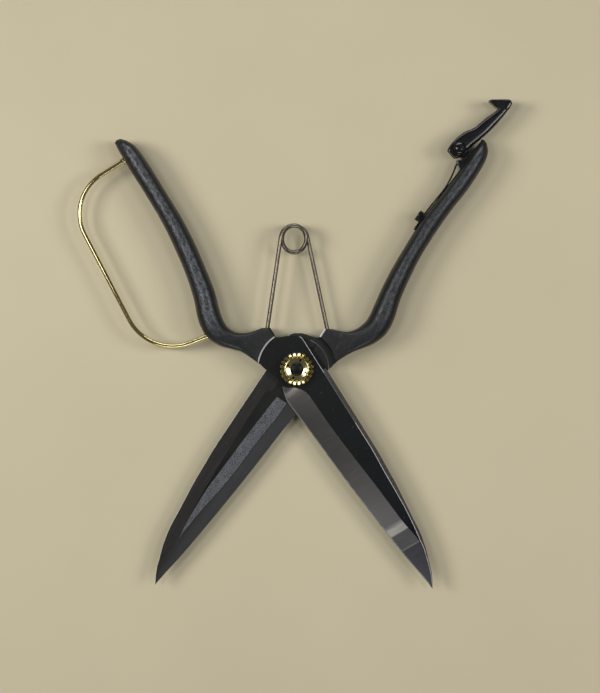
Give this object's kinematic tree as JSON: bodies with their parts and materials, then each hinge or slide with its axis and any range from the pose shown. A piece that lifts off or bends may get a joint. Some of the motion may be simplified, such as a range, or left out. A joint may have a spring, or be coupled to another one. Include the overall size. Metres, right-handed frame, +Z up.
{
  "type": "pruning shears",
  "caption": "Long-bladed hand pruning shears held open by a coil spring, with forged arms, a wire hand guard on one handle and a lock latch on the other.",
  "frame": {"origin": "on the pivot axis, at the flat underside of the pivot bolt's head, which rests on the table", "axes": "+Y from the pivot towards the handles, along the middle between them; +Z up along the pivot axis, towards the brass nut; +X to the right seen from above with the handles away from the viewer's feet, towards the handle with the latch"},
  "size_m": [0.23, 0.2589, 0.0159],
  "materials": {
    "forged_steel": "black forged steel, satin, ground bevels a little lighter",
    "black_steel": "glossy blackened steel",
    "spring_steel": "oil-tempered spring wire, brownish, semi-gloss",
    "brass": "polished yellow brass",
    "washer_steel": "dark satin steel"
  },
  "bodies": {
    "lower_arm": {"lower_arm": "forged_steel", "pivot_bolt": "black_steel", "pivot_washer": "washer_steel", "pivot_nut": "brass", "latch_bracket": "black_steel", "bracket_rivets": "black_steel", "latch_screw": "black_steel", "latch_leaf_spring": "black_steel", "leaf_spring_screw": "black_steel"},
    "upper_arm": {"upper_arm": "forged_steel", "hand_guard": "brass", "guard_collars": "brass"},
    "spring_right": {"spring_right": "spring_steel"},
    "spring_left": {"spring_left": "spring_steel"},
    "latch_lever": {"latch_lever": "black_steel"}
  },
  "joints": [
    {"name": "pivot", "type": "hinge", "parent": "lower_arm", "child": "upper_arm", "pos_m": [0, 0, 0.007], "axis": [0, 0, -1], "range_deg": [-8, 66], "stiffness_Nm_per_rad": 1},
    {"name": "spring_foot", "type": "hinge", "parent": "lower_arm", "child": "spring_right", "pos_m": [0.01679, 0.01825, 0.007], "axis": [0, 0, -1], "range_deg": [-6, 48]},
    {"name": "spring_coil", "type": "hinge", "parent": "spring_right", "child": "spring_left", "pos_m": [-0.0014, 0.0689, 0.007], "axis": [0, 0, 1], "range_deg": [-4, 28]},
    {"name": "latch", "type": "hinge", "parent": "lower_arm", "child": "latch_lever", "pos_m": [0.08615, 0.11682, 0.007], "axis": [0, 0, 1], "range_deg": [0, 76]}
  ],
  "couplings": [
    {"joint": "spring_foot", "follows": "pivot", "ratio": 0.7112},
    {"joint": "spring_coil", "follows": "pivot", "ratio": 0.4137}
  ]
}
